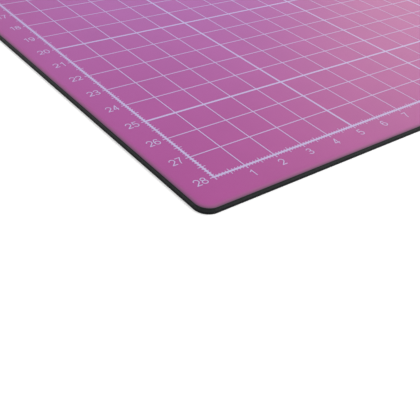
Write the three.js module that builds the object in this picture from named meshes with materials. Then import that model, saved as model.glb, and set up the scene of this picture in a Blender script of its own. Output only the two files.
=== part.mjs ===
// Craft cutting mat of A3 class: five plies bonded into one flat sheet with round corners, and a
// ruling printed on the face of the top film.
// Millimetres, +Z up, with the origin at the centre of the underside. X runs along the long edges.
// The ruling's columns count from the -X border towards +X, and its rows from the +Y border down.

import * as THREE from "three";

// Outline of the sheet
const MAT_LENGTH = 450;
const MAT_WIDTH = 300;
const CORNER_RADIUS = 4;
const CORNER_STEPS = 8; // an arc of a shape gets twice as many steps

// Plies, from the cutting face down
const FILM_THICKNESS = 0.25;
const UPPER_PLY_THICKNESS = 0.5;
const CORE_THICKNESS = 0.46;
const LOWER_PLY_THICKNESS = 0.5;
const BACKING_THICKNESS = 0.25;
const BOND_GAP = 0.01; // between each two plies
const EDGE_EASE = 0.08; // rounding of the two outer plies' edges
const EASE_LIMIT = 1 / 3; // of a ply's thickness
const EASE_STEPS = 2;

// Ruling: whole cells inside the least margin, a border line round them and a heavy line every few cells
const CELL = 10;
const CELLS_PER_HEAVY_LINE = 5;
const LEAST_MARGIN = 9;
const PRINT_OFFSET_X = 0.5; // how far the print sits off the sheet's middle
const PRINT_OFFSET_Y = -0.15;
const BORDER_LINE_WIDTH = 0.65;
const HEAVY_LINE_WIDTH = 0.65;
const FINE_LINE_WIDTH = 0.3;
const TICK_REACH = 1.2; // of each line past the field
const INK_THICKNESS = 0.02; // of the rows, and of the columns that cross over them

const columns = Math.floor((MAT_LENGTH - 2 * LEAST_MARGIN) / CELL);
const rows = Math.floor((MAT_WIDTH - 2 * LEAST_MARGIN) / CELL);

function sheetOutline() {
  const x = MAT_LENGTH / 2 - CORNER_RADIUS;
  const y = MAT_WIDTH / 2 - CORNER_RADIUS;
  const quarter = Math.PI / 2;
  const outline = new THREE.Shape();
  outline.absarc(x, y, CORNER_RADIUS, 0, quarter);
  outline.absarc(-x, y, CORNER_RADIUS, quarter, 2 * quarter);
  outline.absarc(-x, -y, CORNER_RADIUS, 2 * quarter, 3 * quarter);
  outline.absarc(x, -y, CORNER_RADIUS, 3 * quarter, 4 * quarter);
  return outline;
}

// A ply with square edges, standing on z = 0.
function squarePly(thickness) {
  return new THREE.ExtrudeGeometry(sheetOutline(), {
    depth: thickness,
    curveSegments: CORNER_STEPS,
    bevelEnabled: false,
  });
}

// A ply whose upper and lower edges are eased, standing on z = 0.
function easedPly(thickness) {
  const ease = Math.min(EDGE_EASE, EASE_LIMIT * thickness);
  const ply = new THREE.ExtrudeGeometry(sheetOutline(), {
    depth: thickness - 2 * ease,
    curveSegments: CORNER_STEPS,
    bevelThickness: ease,
    bevelSize: ease,
    bevelOffset: -ease,
    bevelSegments: EASE_STEPS,
  });
  return ply.translate(0, 0, ease);
}

// The edges of a plan across lines given as middle and width, from one end to the other.
function planEdges(lines, end) {
  const sides = lines.flatMap(([middle, width]) => [middle - width / 2, middle + width / 2]);
  return [-end, ...sides, end];
}

// A flat lattice standing on z = 0. Its plan is the grid of rectangles between the edges xs and ys,
// and every second column and row of rectangles is solid.
function flatLattice(xs, ys, height) {
  const inPlan = (i, j) => i >= 0 && j >= 0 && i < xs.length - 1 && j < ys.length - 1;
  const isSolid = (i, j) => inPlan(i, j) && (i % 2 === 1 || j % 2 === 1);
  const points = [];
  const quad = (a, b, c, d) => points.push(...a, ...b, ...c, ...a, ...c, ...d);
  const wall = (xa, ya, xb, yb) => quad([xa, ya, 0], [xb, yb, 0], [xb, yb, height], [xa, ya, height]);
  for (let i = 0; i < xs.length - 1; i += 1) {
    for (let j = 0; j < ys.length - 1; j += 1) {
      if (!isSolid(i, j)) continue;
      const [x0, x1, y0, y1] = [xs[i], xs[i + 1], ys[j], ys[j + 1]];
      quad([x0, y0, height], [x1, y0, height], [x1, y1, height], [x0, y1, height]);
      quad([x0, y1, 0], [x1, y1, 0], [x1, y0, 0], [x0, y0, 0]);
      if (!isSolid(i, j - 1)) wall(x0, y0, x1, y0);
      if (!isSolid(i + 1, j)) wall(x1, y0, x1, y1);
      if (!isSolid(i, j + 1)) wall(x1, y1, x0, y1);
      if (!isSolid(i - 1, j)) wall(x0, y1, x0, y0);
    }
  }
  const lattice = new THREE.BufferGeometry();
  lattice.setAttribute("position", new THREE.Float32BufferAttribute(points, 3));
  lattice.computeVertexNormals();
  return lattice;
}

// One direction of the ruling as a ladder of ink round its own middle: two border lines along Y, and
// a line across them after each cell, counted from the +Y end. Each line ends in a tick past the field.
function inkLadder(cells, cellsAcross) {
  const halfSpan = (cellsAcross * CELL) / 2;
  const halfRun = (cells * CELL) / 2;
  const borders = [[-halfSpan, BORDER_LINE_WIDTH], [halfSpan, BORDER_LINE_WIDTH]];
  const crossLines = [];
  for (let line = cells - 1; line > 0; line -= 1) {
    const isHeavy = line % CELLS_PER_HEAVY_LINE === 0;
    crossLines.push([halfRun - line * CELL, isHeavy ? HEAVY_LINE_WIDTH : FINE_LINE_WIDTH]);
  }
  const xs = planEdges(borders, halfSpan + TICK_REACH);
  const ys = planEdges(crossLines, halfRun + TICK_REACH);
  return flatLattice(xs, ys, INK_THICKNESS);
}

// Materials: satin vinyl film, soft and hard vinyl plies, and the ink of the ruling
function plastic(color, roughness) {
  return () => new THREE.MeshStandardMaterial({ color, roughness, metalness: 0 });
}

const pinkFilm = plastic("#ab5090", 0.45);
const softBlack = plastic("#222224", 0.6);
const hardGrey = plastic("#39393b", 0.5);
const backingBlack = plastic("#1d1d1f", 0.75);
const paleInk = plastic("#cbbcde", 0.5);

const mat = new THREE.Group();
mat.name = "craft_cutting_mat";

function place(name, geometry, material, height) {
  const mesh = new THREE.Mesh(geometry, material);
  mesh.name = name;
  mesh.position.z = height;
  mat.add(mesh);
  return mesh;
}

const lowerPlyHeight = BACKING_THICKNESS + BOND_GAP;
const coreHeight = lowerPlyHeight + LOWER_PLY_THICKNESS + BOND_GAP;
const upperPlyHeight = coreHeight + CORE_THICKNESS + BOND_GAP;
const filmHeight = upperPlyHeight + UPPER_PLY_THICKNESS + BOND_GAP;
const rowsHeight = filmHeight + FILM_THICKNESS;
const columnsHeight = rowsHeight + INK_THICKNESS;

place("backing_film", easedPly(BACKING_THICKNESS), backingBlack(), 0);
place("lower_healing_ply", squarePly(LOWER_PLY_THICKNESS), softBlack(), lowerPlyHeight);
place("hard_core", squarePly(CORE_THICKNESS), hardGrey(), coreHeight);
place("upper_healing_ply", squarePly(UPPER_PLY_THICKNESS), softBlack(), upperPlyHeight);
place("cutting_film", easedPly(FILM_THICKNESS), pinkFilm(), filmHeight);

const rowLines = place("row_lines", inkLadder(rows, columns), paleInk(), rowsHeight);
const columnLines = place("column_lines", inkLadder(columns, rows), paleInk(), columnsHeight);
columnLines.rotation.z = Math.PI / 2;
for (const lines of [rowLines, columnLines]) {
  lines.position.x = PRINT_OFFSET_X;
  lines.position.y = PRINT_OFFSET_Y;
}

export default mat;
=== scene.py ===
"""Looks of a craft cutting mat: a pink face with a pale ruling, on a black laminate with round corners.

Metres, +Z up, with the origin at the centre of the mat's underside. X runs along the long edges.
"""

import math

import bmesh
import bpy
from mathutils import Matrix, Vector
from mathutils.geometry import delaunay_2d_cdt


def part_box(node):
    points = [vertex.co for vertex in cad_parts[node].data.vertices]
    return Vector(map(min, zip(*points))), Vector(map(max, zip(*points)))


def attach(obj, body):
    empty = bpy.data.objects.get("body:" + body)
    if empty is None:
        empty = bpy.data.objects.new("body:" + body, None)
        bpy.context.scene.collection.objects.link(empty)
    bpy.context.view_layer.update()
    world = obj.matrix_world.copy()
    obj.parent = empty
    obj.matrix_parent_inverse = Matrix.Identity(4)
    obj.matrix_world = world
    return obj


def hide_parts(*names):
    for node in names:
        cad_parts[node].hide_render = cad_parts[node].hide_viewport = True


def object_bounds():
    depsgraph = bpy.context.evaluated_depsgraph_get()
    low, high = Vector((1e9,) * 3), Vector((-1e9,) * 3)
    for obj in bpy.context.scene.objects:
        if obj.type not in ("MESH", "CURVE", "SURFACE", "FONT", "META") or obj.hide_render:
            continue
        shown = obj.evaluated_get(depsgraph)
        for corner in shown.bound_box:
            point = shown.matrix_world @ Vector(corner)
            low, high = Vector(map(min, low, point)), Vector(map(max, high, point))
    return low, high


MM = 0.001

# Sheet
CORNER_RADIUS = 4 * MM
CORNER_STEPS = 24
ROUND_STEPS = 8
FLAT_RIM = 2.5 * MM  # width of the rim in which the edges' roundings die out
EDGE_ROLL = 1.8 * MM  # how far in from the edge the film and the ply under it start to roll down
ROLL_DEPTH = 0.45 * MM  # of the rolled edge, below the face
PLY_BULGE = 0.03 * MM  # of the soft plies, over the seams above and below them
BULGE_DEPTH = 0.12 * MM
BACKING_ROUND = 0.2 * MM
SHARP_EDGE = math.radians(40)  # an edge that turns by more isn't shaded smooth

# Ruling
CELL = 10 * MM
CELLS_PER_HEAVY_LINE = 5
TICK_REACH = 1.2 * MM  # of the tick at each line's end, past the border line's middle
BORDER_LINE = 0.65 * MM
HEAVY_LINE = 0.65 * MM
FINE_LINE = 0.3 * MM

# Scale along the border lines
TICKS_PER_CELL = 10
TICKS_PER_LONG_TICK = 5
TICK_WIDTH = 0.22 * MM
TICK_HALF = 0.72 * MM
LONG_TICK_HALF = 1.2 * MM

# Numbers, in shares of a digit's height where no unit is given
DIGIT_HEIGHT = 2.6 * MM
DIGIT_WIDTH = 0.68
DIGIT_ADVANCE = 0.78
DIGIT_STROKE = 0.1
LEAST_MITRE = 0.5  # keeps the sides of a stroke near it at a sharp turn
SAME_POINT = 1e-5
INSIDE_FACES = 1  # asks the triangulation for what lies inside the strokes alone
ARC_STEP = 15  # degrees
COLUMN_NUMBER_GAP = 2.15 * MM  # from the border line's middle to the near side of a number
COLUMN_NUMBER_SHIFT = -0.4 * MM  # of a number's middle from its line
ROW_NUMBER_CENTRE = 4.1 * MM  # from the border line's middle to the middle of a number

# Finishes: the two colours, in linear light, between which each surface varies
FILM_COLOURS = ((0.344, 0.0525, 0.229), (0.362, 0.0555, 0.241))
THINNED_FILM_AND_SHEEN_COLOURS = ((0.115, 0.059, 0.104), (0.312, 0.076, 0.220))  # at its foot, where the black ply shows through the thinned film, and at its palest, both greyed by a painted sheen
PAINTED_SHEEN_PEAK = 0.8  # share of the film's thickness at which the painted sheen over the rolled edge is palest
INK_COLOURS = ((0.44, 0.335, 0.54), (0.48, 0.40, 0.615))
SOFT_VINYL_COLOURS = ((0.004, 0.005, 0.006), (0.008, 0.010, 0.011))
HARD_VINYL_COLOURS = ((0.011, 0.013, 0.014), (0.022, 0.024, 0.025))
BACKING_COLOURS = ((0.010, 0.010, 0.011), (0.015, 0.015, 0.016))
NOISE_RANGE = (0.3, 0.7)  # in which most of a noise lies
INK_RANGE = (0.25, 0.5)  # of the noise, from thin ink to full cover
ROUGHNESS_CHANGE = 0.08  # along a cut edge, to either side of its mean
SCORE_STRETCH = (1, 1, 0.08)  # scores of the blade run along Z

# Camera, from the corner of the ruling that the rows count down to
CAMERA_PLACE = Vector((-92.14, -101.27, 93.49)) * MM
CAMERA_AIM = Vector((-8.99, -9.90, 0)) * MM
CAMERA_ROLL = math.radians(7.0)
CAMERA_LENS = 58.5
CAMERA_CLIP = 0.01

# Floor and surroundings
FLOOR_HALF = 6.0
FLOOR_GAP = 0.02 * MM
FLOOR_COLOUR = (0.88, 0.88, 0.88, 1)
FLOOR_LIFT_NEAR = 0.35  # light added where it is seen or mirrored, up to FLOOR_NEAR from the mat's middle
FLOOR_LIFT_FAR = 0.6  # and from FLOOR_FAR on
FLOOR_NEAR = 0.4
FLOOR_FAR = 1.5
WHITE = (1, 1, 1, 1)
WORLD_LIGHT = 0.6  # of full white

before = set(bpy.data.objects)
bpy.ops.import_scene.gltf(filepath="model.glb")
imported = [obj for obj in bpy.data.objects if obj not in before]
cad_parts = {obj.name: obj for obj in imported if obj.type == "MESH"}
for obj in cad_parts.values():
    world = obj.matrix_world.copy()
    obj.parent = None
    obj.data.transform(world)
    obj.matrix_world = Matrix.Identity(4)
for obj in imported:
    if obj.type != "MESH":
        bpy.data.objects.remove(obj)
cad_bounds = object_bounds()

mat_low, mat_high = cad_bounds
film_foot, face_height = (corner.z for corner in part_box("cutting_film"))
ink_low, ink_high = (corner.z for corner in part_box("row_lines"))
field_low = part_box("row_lines")[0].xy + Vector((TICK_REACH, TICK_REACH))
field_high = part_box("row_lines")[1].xy - Vector((TICK_REACH, TICK_REACH))
columns = round((field_high.x - field_low.x) / CELL)
rows = round((field_high.y - field_low.y) / CELL)
last_row_corner = Vector((field_low.x, field_low.y, face_height))


# Materials

def socket_nodes(material):
    """The node tree of a material with its Principled BSDF and a set of object coordinates."""
    material.use_nodes = True
    nodes = material.node_tree.nodes
    coordinates = nodes.new("ShaderNodeTexCoord").outputs["Object"]
    return nodes, material.node_tree.links, nodes["Principled BSDF"], coordinates


def noise(nodes, links, coordinates, size, detail, stretch=(1, 1, 1)):
    """Noise whose features are about that size, and longer along the axes of a smaller stretch."""
    mapping = nodes.new("ShaderNodeMapping")
    mapping.inputs["Scale"].default_value = stretch
    links.new(coordinates, mapping.inputs["Vector"])
    texture = nodes.new("ShaderNodeTexNoise")
    texture.inputs["Scale"].default_value = 1 / size
    texture.inputs["Detail"].default_value = detail
    links.new(mapping.outputs["Vector"], texture.inputs["Vector"])
    return texture.outputs["Fac"]


def ramp(nodes, links, factor, colours, places=NOISE_RANGE):
    """A colour that goes from one to the other of two as the factor goes from place to place."""
    node = nodes.new("ShaderNodeValToRGB")
    for element, place, colour in zip(node.color_ramp.elements, places, colours):
        element.position = place
        element.color = (*colour, 1)
    links.new(factor, node.inputs["Fac"])
    return node.outputs["Color"]


def map_range(nodes, links, value, low, high, first=0, last=1):
    """A number that goes from first to last as the value goes from low to high."""
    node = nodes.new("ShaderNodeMapRange")
    node.inputs["From Min"].default_value = low
    node.inputs["From Max"].default_value = high
    node.inputs["To Min"].default_value = first
    node.inputs["To Max"].default_value = last
    links.new(value, node.inputs["Value"])
    return node.outputs["Result"]


def set_roughness(nodes, links, bsdf, factor, least, most):
    """Roughness that goes from least to most as the noise goes over its usual range."""
    links.new(map_range(nodes, links, factor, *NOISE_RANGE, least, most), bsdf.inputs["Roughness"])


def set_bump(nodes, links, bsdf, height, depth, strength):
    node = nodes.new("ShaderNodeBump")
    node.inputs["Distance"].default_value = depth
    node.inputs["Strength"].default_value = strength
    links.new(height, node.inputs["Height"])
    links.new(node.outputs["Normal"], bsdf.inputs["Normal"])


def stretched_film(nodes, links, coordinates, colour):
    """The film's colour over the rolled edge: a painted sheen pales and greys it, then the black ply shows
    through where it thins.
    """
    place = nodes.new("ShaderNodeSeparateXYZ")
    links.new(coordinates, place.inputs["Vector"])
    thickness = map_range(nodes, links, place.outputs["Z"], film_foot, face_height)
    thinning_and_sheen = ramp(nodes, links, thickness, THINNED_FILM_AND_SHEEN_COLOURS, (0, PAINTED_SHEEN_PEAK))
    mix = nodes.new("ShaderNodeMix")
    mix.data_type = "RGBA"
    links.new(map_range(nodes, links, thickness, PAINTED_SHEEN_PEAK, 1), mix.inputs["Factor"])
    links.new(thinning_and_sheen, mix.inputs["A"])
    links.new(colour, mix.inputs["B"])
    return mix.outputs["Result"]


def film_material():
    """Satin vinyl film with a fine matt grain, a faintly cloudy pigment and a painted sheen over its rolled
    edge.
    """
    material = bpy.data.materials.new("satin_pink_film")
    nodes, links, bsdf, coordinates = socket_nodes(material)
    clouds = noise(nodes, links, coordinates, size=16 * MM, detail=3)
    grain = noise(nodes, links, coordinates, size=0.22 * MM, detail=3)
    colour = ramp(nodes, links, clouds, FILM_COLOURS)
    # the rolled edge's colour holds a painted sheen, paler and greyer, over the black that shows through
    # the thinned film
    links.new(stretched_film(nodes, links, coordinates, colour), bsdf.inputs["Base Color"])
    set_roughness(nodes, links, bsdf, grain, least=0.42, most=0.54)
    bsdf.inputs["Specular IOR Level"].default_value = 0.2
    set_bump(nodes, links, bsdf, grain, depth=0.02 * MM, strength=0.6)
    return material


def ink_material():
    """Pale screen-printing ink, a little thinner in places, where the film shows through."""
    material = bpy.data.materials.new("screen_print_ink")
    nodes, links, bsdf, coordinates = socket_nodes(material)
    cover = noise(nodes, links, coordinates, size=0.35 * MM, detail=3)
    links.new(ramp(nodes, links, cover, INK_COLOURS, INK_RANGE), bsdf.inputs["Base Color"])
    set_roughness(nodes, links, bsdf, cover, least=0.5, most=0.62)
    bsdf.inputs["Specular IOR Level"].default_value = 0.2
    set_bump(nodes, links, bsdf, cover, depth=0.006 * MM, strength=0.5)
    return material


def cut_vinyl_material(name, colours, roughness, gloss):
    """The cut edge of a ply: fine specks, and scores of the blade that run from face to face."""
    material = bpy.data.materials.new(name)
    nodes, links, bsdf, coordinates = socket_nodes(material)
    specks = noise(nodes, links, coordinates, size=0.2 * MM, detail=4)
    scores = noise(nodes, links, coordinates, size=0.25 * MM, detail=2, stretch=SCORE_STRETCH)
    links.new(ramp(nodes, links, specks, colours), bsdf.inputs["Base Color"])
    set_roughness(nodes, links, bsdf, scores, roughness - ROUGHNESS_CHANGE, roughness + ROUGHNESS_CHANGE)
    bsdf.inputs["Specular IOR Level"].default_value = gloss
    set_bump(nodes, links, bsdf, scores, depth=0.03 * MM, strength=0.6)
    return material


def backing_material():
    """Black backing film with a fine pebbled emboss that grips the table."""
    material = bpy.data.materials.new("pebbled_backing")
    nodes, links, bsdf, coordinates = socket_nodes(material)
    pebble_size = 0.7 * MM
    pebbles = nodes.new("ShaderNodeTexVoronoi")
    pebbles.inputs["Scale"].default_value = 1 / pebble_size
    links.new(coordinates, pebbles.inputs["Vector"])
    clouds = noise(nodes, links, coordinates, size=5 * MM, detail=3)
    links.new(ramp(nodes, links, clouds, BACKING_COLOURS), bsdf.inputs["Base Color"])
    set_roughness(nodes, links, bsdf, clouds, least=0.55, most=0.7)
    bsdf.inputs["Specular IOR Level"].default_value = 0.3
    set_bump(nodes, links, bsdf, pebbles.outputs["Distance"], depth=0.05 * MM, strength=0.5)
    return material


# Pieces

def add_piece(name, bm, material, replaced):
    """Makes a finished mesh a piece of the mat, in place of the solids that it stands for."""
    bmesh.ops.recalc_face_normals(bm, faces=bm.faces)
    mesh = bpy.data.meshes.new(name)
    bm.to_mesh(mesh)
    bm.free()
    mesh.materials.append(material)
    mesh.shade_smooth()
    mesh.set_sharp_from_angle(angle=SHARP_EDGE)
    piece = bpy.data.objects.new(name, mesh)
    bpy.context.scene.collection.objects.link(piece)
    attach(piece, "root")
    if replaced:
        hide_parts(*replaced)


def outline_ring(inset):
    """The sheet's outline drawn in by that much, as points that run anticlockwise."""
    radius = CORNER_RADIUS - inset
    centre = (mat_low.xy + mat_high.xy) / 2
    reach = (mat_high.xy - mat_low.xy) / 2 - Vector((CORNER_RADIUS, CORNER_RADIUS))
    ring = []
    for quarter, (side_x, side_y) in enumerate(((1, 1), (-1, 1), (-1, -1), (1, -1))):
        for step in range(CORNER_STEPS + 1):
            angle = (quarter + step / CORNER_STEPS) * math.pi / 2
            ring.append((
                centre.x + side_x * reach.x + radius * math.cos(angle),
                centre.y + side_y * reach.y + radius * math.sin(angle),
            ))
    return ring


def rounding(width, depth, first=0.0, last=1.0):
    """A quarter of an ellipse as (inset, depth) pairs, from the flat face round to the side.

    first and last are the shares of the depth between which the part of it lies that is wanted.
    """
    start, end = (math.acos(1 - share) for share in (first, last))
    angles = [start + (end - start) * step / ROUND_STEPS for step in range(ROUND_STEPS + 1)]
    return [(width * (1 - math.sin(angle)), depth * (1 - math.cos(angle))) for angle in angles]


def add_ply(node, lower, upper, material):
    """A closed sheet between its solid's faces. lower and upper give its edges as (inset, depth) pairs."""
    low, high = (corner.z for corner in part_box(node))
    profile = [(FLAT_RIM, low)]
    profile += [(inset, low + depth) for inset, depth in lower]
    profile += [(inset, high - depth) for inset, depth in reversed(upper)]
    profile += [(FLAT_RIM, high)]
    bm = bmesh.new()
    rings = [[bm.verts.new((x, y, z)) for x, y in outline_ring(inset)] for inset, z in profile]
    count = len(rings[0])
    for ring, above in zip(rings, rings[1:]):
        for i in range(count):
            j = (i + 1) % count
            bm.faces.new((ring[i], ring[j], above[j], above[i]))
    bm.faces.new(list(reversed(rings[0])))
    bm.faces.new(rings[-1])
    add_piece(node + "_sheet", bm, material, [node])


def add_plies():
    """The five plies. One rounding rolls down the edges of the top film and of the soft ply under it."""
    soft = cut_vinyl_material("cut_soft_vinyl", SOFT_VINYL_COLOURS, roughness=0.7, gloss=0.12)
    rolled = cut_vinyl_material("rolled_soft_vinyl", SOFT_VINYL_COLOURS, roughness=0.5, gloss=0.14)
    core = cut_vinyl_material("cut_hard_vinyl", HARD_VINYL_COLOURS, roughness=0.6, gloss=0.1)
    square = [(0, 0)]
    bulged = rounding(PLY_BULGE, BULGE_DEPTH)
    backing_edge = rounding(BACKING_ROUND, BACKING_ROUND)
    add_ply("backing_film", backing_edge, square, backing_material())
    add_ply("lower_healing_ply", bulged, bulged, soft)
    add_ply("hard_core", square, square, core)

    film_drop = face_height - film_foot
    ply_drop = face_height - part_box("upper_healing_ply")[1].z
    film_roll = rounding(EDGE_ROLL, ROLL_DEPTH, 0, film_drop / ROLL_DEPTH)
    rest_of_roll = rounding(EDGE_ROLL, ROLL_DEPTH, ply_drop / ROLL_DEPTH, 1)
    ply_roll = [(inset, depth - ply_drop) for inset, depth in rest_of_roll]
    film_edge = (film_roll[-1][0], 0)
    add_ply("upper_healing_ply", bulged, ply_roll, rolled)
    add_ply("cutting_film", [film_edge], film_roll[:-1], film_material())


def add_ink(name, points, faces, material, replaced=()):
    """A layer of ink on the film, from a flat mesh whose faces run anticlockwise as seen from above."""
    bm = bmesh.new()
    used = sorted({i for face in faces for i in face})
    lower = {i: bm.verts.new((*points[i], ink_low)) for i in used}
    upper = {i: bm.verts.new((*points[i], ink_high)) for i in used}
    edges = [(face[i - 1], face[i]) for face in faces for i in range(len(face))]
    inner = set(edges)
    for face in faces:
        bm.faces.new([upper[i] for i in face])
        bm.faces.new([lower[i] for i in reversed(face)])
    for a, b in edges:
        if (b, a) not in inner:
            bm.faces.new((lower[a], lower[b], upper[b], upper[a]))
    add_piece(name, bm, material, replaced)


def line_sides(low, cells, first_heavy):
    """The places of the two sides of each line across one direction."""
    places = []
    for line in range(cells + 1):
        heavy = (line - first_heavy) % CELLS_PER_HEAVY_LINE == 0
        border = line in (0, cells)
        width = BORDER_LINE if border else HEAVY_LINE if heavy else FINE_LINE
        places += [low + line * CELL - width / 2, low + line * CELL + width / 2]
    return places


def add_ruling(material):
    """The border, heavy and fine lines as one lattice. Columns count from the left, rows from the top."""
    xs = line_sides(field_low.x, columns, 0)
    ys = line_sides(field_low.y, rows, rows)
    points = [(x, y) for x in xs for y in ys]
    faces = []
    for i in range(len(xs) - 1):
        for j in range(len(ys) - 1):
            if i % 2 == 0 or j % 2 == 0:
                a = i * len(ys) + j
                b = a + len(ys)
                faces.append((a, b, b + 1, a + 1))
    add_ink("ruling", points, faces, material, ["row_lines", "column_lines"])


def tick_spans(cells, outward):
    """The ticks along one border: the place and width of each, and its two ends across the border."""
    for tick in range(cells * TICKS_PER_CELL + 1):
        place = tick * CELL / TICKS_PER_CELL
        if tick % TICKS_PER_CELL == 0:
            near, far = sorted((outward * BORDER_LINE / 2, outward * TICK_REACH))
            yield place, FINE_LINE, near, far
        else:
            half = TICK_HALF if tick % TICKS_PER_LONG_TICK else LONG_TICK_HALF
            yield place, TICK_WIDTH, BORDER_LINE / 2, half
            yield place, TICK_WIDTH, -half, -BORDER_LINE / 2


def add_scale(material):
    """Thin ticks: one past the border at each line's end, and short ones between, on both its sides."""
    stubs = []
    for border, outward in ((field_low.y, -1), (field_high.y, 1)):
        for place, width, near, far in tick_spans(columns, outward):
            x = field_low.x + place
            stubs.append((x - width / 2, border + near, x + width / 2, border + far))
    for border, outward in ((field_low.x, -1), (field_high.x, 1)):
        for place, width, near, far in tick_spans(rows, outward):
            y = field_low.y + place
            stubs.append((border + near, y - width / 2, border + far, y + width / 2))
    points, faces = [], []
    for x0, y0, x1, y1 in stubs:
        faces.append(range(len(points), len(points) + 4))
        points += [(x0, y0), (x1, y0), (x1, y1), (x0, y1)]
    add_ink("scale_ticks", points, faces, material)


# Digits, drawn with the middle of the stroke in a box one high

def arc(x, y, rx, ry, start, end):
    steps = max(1, round(abs(end - start) / ARC_STEP))
    angles = [math.radians(start + (end - start) * step / steps) for step in range(steps + 1)]
    return [(x + rx * math.cos(angle), y + ry * math.sin(angle)) for angle in angles]


def half_turn(strokes):
    return [[(DIGIT_WIDTH - x, 1 - y) for x, y in stroke] for stroke in strokes]


SIX = [arc(0.34, 0.325, 0.285, 0.27, 0, 360), arc(0.36, 0.5, 0.305, 0.445, 45, 180) + [(0.055, 0.33)]]
DIGITS = {
    "0": [arc(0.34, 0.5, 0.285, 0.445, 0, 360)],
    "1": [[(0.50, 0), (0.50, 1)], [(0.21, 0.72), (0.48, 0.92)]],
    "2": [arc(0.34, 0.665, 0.28, 0.28, 172, -38) + [(0.1, 0.07)], [(0.03, 0.055), (0.64, 0.055)]],
    "3": [arc(0.335, 0.735, 0.245, 0.21, 165, -90),
          [(0.23, 0.525)] + arc(0.34, 0.29, 0.285, 0.235, 90, -165)],
    "4": [[(0.48, 0), (0.48, 1)], [(0.46, 0.95), (0.075, 0.29)], [(0.03, 0.275), (0.66, 0.275)]],
    "5": [[(0.61, 0.945), (0.165, 0.945), (0.118, 0.5)], arc(0.335, 0.335, 0.29, 0.28, 140, -160)],
    "6": SIX,
    "7": [[(0.03, 0.945), (0.65, 0.945)], [(0.6, 0.93), (0.4, 0.56), (0.29, 0.27), (0.25, 0)]],
    "8": [arc(0.34, 0.74, 0.235, 0.205, 0, 360), arc(0.34, 0.3, 0.285, 0.245, 0, 360)],
    "9": half_turn(SIX),
}


def stroke_quads(stroke):
    """The flat ribbon round one stroke, as quads between pairs of points on its two sides."""
    line = [Vector(point) for point in stroke]
    closed = (line[0] - line[-1]).length < SAME_POINT
    steps = [(b - a).normalized() for a, b in zip(line, line[1:])]
    sides = []
    for i, point in enumerate(line):
        before = steps[i - 1] if i or closed else steps[0]
        after = steps[i] if i < len(steps) else steps[0] if closed else steps[-1]
        across = (before + after).normalized().orthogonal()
        reach = DIGIT_STROKE / 2 / max(LEAST_MITRE, across.dot(before.orthogonal()))
        sides.append((point - across * reach, point + across * reach))
    return [(a[0], b[0], b[1], a[1]) for a, b in zip(sides, sides[1:])]


def digit_mesh(strokes):
    """Points and triangles of a digit's flat shape, in which strokes that cross are one."""
    points, faces = [], []
    for stroke in strokes:
        for quad in stroke_quads(stroke):
            faces.append(list(range(len(points), len(points) + 4)))
            points.extend(quad)
    result = delaunay_2d_cdt(points, [], faces, INSIDE_FACES, SAME_POINT)
    covered = [tuple(face) for face, origin in zip(result[2], result[5]) if origin]
    return result[0], covered


DIGIT_MESHES = {digit: digit_mesh(strokes) for digit, strokes in DIGITS.items()}


def add_numbers(name, labels, material):
    """A row of numbers. labels gives each number and the middle of its box."""
    points, faces = [], []
    for number, middle in labels:
        text = str(number)
        width = (len(text) - 1) * DIGIT_ADVANCE + DIGIT_WIDTH
        for place, digit in enumerate(text):
            corner = middle + Vector((place * DIGIT_ADVANCE - width / 2, -0.5)) * DIGIT_HEIGHT
            shape, triangles = DIGIT_MESHES[digit]
            faces += [[len(points) + i for i in triangle] for triangle in triangles]
            points += [corner + point * DIGIT_HEIGHT for point in shape]
    add_ink(name, points, faces, material)


def add_all_numbers(material):
    """Columns count up from the left border and rows down from the top one, on all four sides."""
    gap = COLUMN_NUMBER_GAP + DIGIT_HEIGHT / 2
    first = field_low.x + COLUMN_NUMBER_SHIFT
    for name, y in (("near", field_low.y - gap), ("far", field_high.y + gap)):
        labels = [(n, Vector((first + n * CELL, y))) for n in range(1, columns + 1)]
        add_numbers(f"column_numbers_{name}", labels, material)
    for name, x in (("left", field_low.x - ROW_NUMBER_CENTRE), ("right", field_high.x + ROW_NUMBER_CENTRE)):
        labels = [(n, Vector((x, field_high.y - n * CELL))) for n in range(1, rows + 1)]
        add_numbers(f"row_numbers_{name}", labels, material)


# Stage

def add_camera():
    data = bpy.data.cameras.new("camera")
    data.lens = CAMERA_LENS
    data.clip_start = CAMERA_CLIP
    camera = bpy.data.objects.new("camera", data)
    camera.location = last_row_corner + CAMERA_PLACE
    look = (CAMERA_AIM - CAMERA_PLACE).to_track_quat("-Z", "Y").to_matrix()
    camera.rotation_euler = (look @ Matrix.Rotation(CAMERA_ROLL, 3, "Z")).to_euler()
    bpy.context.scene.collection.objects.link(camera)
    bpy.context.scene.camera = camera


def seen_or_mirrored(nodes, links):
    """1 for the camera's rays and for those that leave a glossy or a clear surface, and 0 for the rest."""
    path = nodes.new("ShaderNodeLightPath")
    either = path.outputs["Is Camera Ray"]
    for ray in ("Is Glossy Ray", "Is Transmission Ray"):
        largest = nodes.new("ShaderNodeMath")
        largest.operation = "MAXIMUM"
        links.new(either, largest.inputs[0])
        links.new(path.outputs[ray], largest.inputs[1])
        either = largest.outputs["Value"]
    return either


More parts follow.
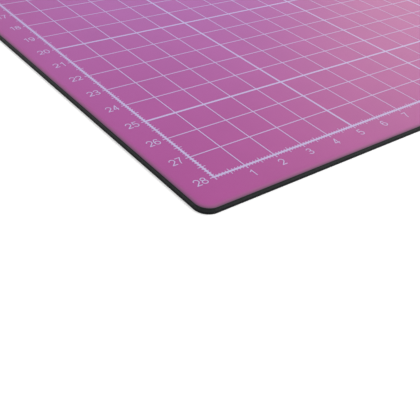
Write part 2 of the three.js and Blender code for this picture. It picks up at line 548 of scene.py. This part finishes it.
def floor_material():
    """White paint that is seen brighter than its light makes it, the more so far from the mat."""
    material = bpy.data.materials.new("floor_white")
    material.use_nodes = True
    nodes, links = material.node_tree.nodes, material.node_tree.links
    nodes.clear()
    output = nodes.new("ShaderNodeOutputMaterial")
    both = nodes.new("ShaderNodeAddShader")
    paint = nodes.new("ShaderNodeBsdfDiffuse")
    paint.inputs["Color"].default_value = FLOOR_COLOUR
    distance = nodes.new("ShaderNodeVectorMath")
    distance.operation = "LENGTH"
    links.new(nodes.new("ShaderNodeTexCoord").outputs["Object"], distance.inputs[0])
    away = distance.outputs["Value"]
    amount = map_range(nodes, links, away, FLOOR_NEAR, FLOOR_FAR, FLOOR_LIFT_NEAR, FLOOR_LIFT_FAR)
    seen = nodes.new("ShaderNodeMath")
    seen.operation = "MULTIPLY"
    links.new(seen_or_mirrored(nodes, links), seen.inputs[0])
    links.new(amount, seen.inputs[1])
    lift = nodes.new("ShaderNodeEmission")
    links.new(seen.outputs["Value"], lift.inputs["Strength"])
    links.new(paint.outputs["BSDF"], both.inputs[0])
    links.new(lift.outputs["Emission"], both.inputs[1])
    links.new(both.outputs["Shader"], output.inputs["Surface"])
    return material


def add_floor():
    """A white floor just under the mat."""
    mesh = bpy.data.meshes.new("floor")
    height = mat_low.z - FLOOR_GAP
    corners = ((-1, -1), (1, -1), (1, 1), (-1, 1))
    mesh.from_pydata([(x * FLOOR_HALF, y * FLOOR_HALF, height) for x, y in corners], [], [(0, 1, 2, 3)])
    mesh.materials.append(floor_material())
    floor = bpy.data.objects.new("floor", mesh)
    bpy.context.scene.collection.objects.link(floor)


def add_world():
    """White surroundings: full white where they are seen or mirrored, and a softer light elsewhere."""
    world = bpy.data.worlds.new("studio")
    bpy.context.scene.world = world
    world.use_nodes = True
    nodes, links = world.node_tree.nodes, world.node_tree.links
    nodes.clear()
    output = nodes.new("ShaderNodeOutputWorld")
    mix = nodes.new("ShaderNodeMixShader")
    links.new(seen_or_mirrored(nodes, links), mix.inputs["Fac"])
    for socket, strength in zip(mix.inputs[1:], (WORLD_LIGHT, 1)):
        background = nodes.new("ShaderNodeBackground")
        background.inputs["Color"].default_value = WHITE
        background.inputs["Strength"].default_value = strength
        links.new(background.outputs["Background"], socket)
    links.new(mix.outputs["Shader"], output.inputs["Surface"])


def add_softbox(name, place, aim, size, watts, colour=WHITE[:3]):
    data = bpy.data.lights.new(name, "AREA")
    data.shape = "RECTANGLE"
    data.size, data.size_y = size
    data.energy = watts
    data.color = colour
    lamp = bpy.data.objects.new(name, data)
    lamp.location = place
    lamp.rotation_euler = (Vector(aim) - Vector(place)).to_track_quat("-Z", "Y").to_euler()
    bpy.context.scene.collection.objects.link(lamp)


def add_lamps():
    """A key from above, and two low lamps behind the mat that lay a warm and a cool sheen on its film."""
    add_softbox("key", place=(0, -0.30, 0.65), aim=(-0.12, -0.10, 0), size=(0.5, 0.5), watts=2.56)
    add_softbox(
        "sheen_right", place=(0.75, 0.3, 0.35), aim=(-0.05, -0.05, 0),
        size=(0.6, 0.5), watts=2.46, colour=(1.0, 0.99, 0.78))
    add_softbox(
        "sheen_back", place=(0.35, 0.7, 0.25), aim=(-0.12, -0.05, 0),
        size=(0.5, 0.4), watts=1.78, colour=(0.05, 0.4, 1.0))


bpy.context.scene.view_settings.view_transform = "Standard"
add_camera()
add_floor()
add_world()
add_lamps()
add_plies()
ink = ink_material()
add_ruling(ink)
add_scale(ink)
add_all_numbers(ink)
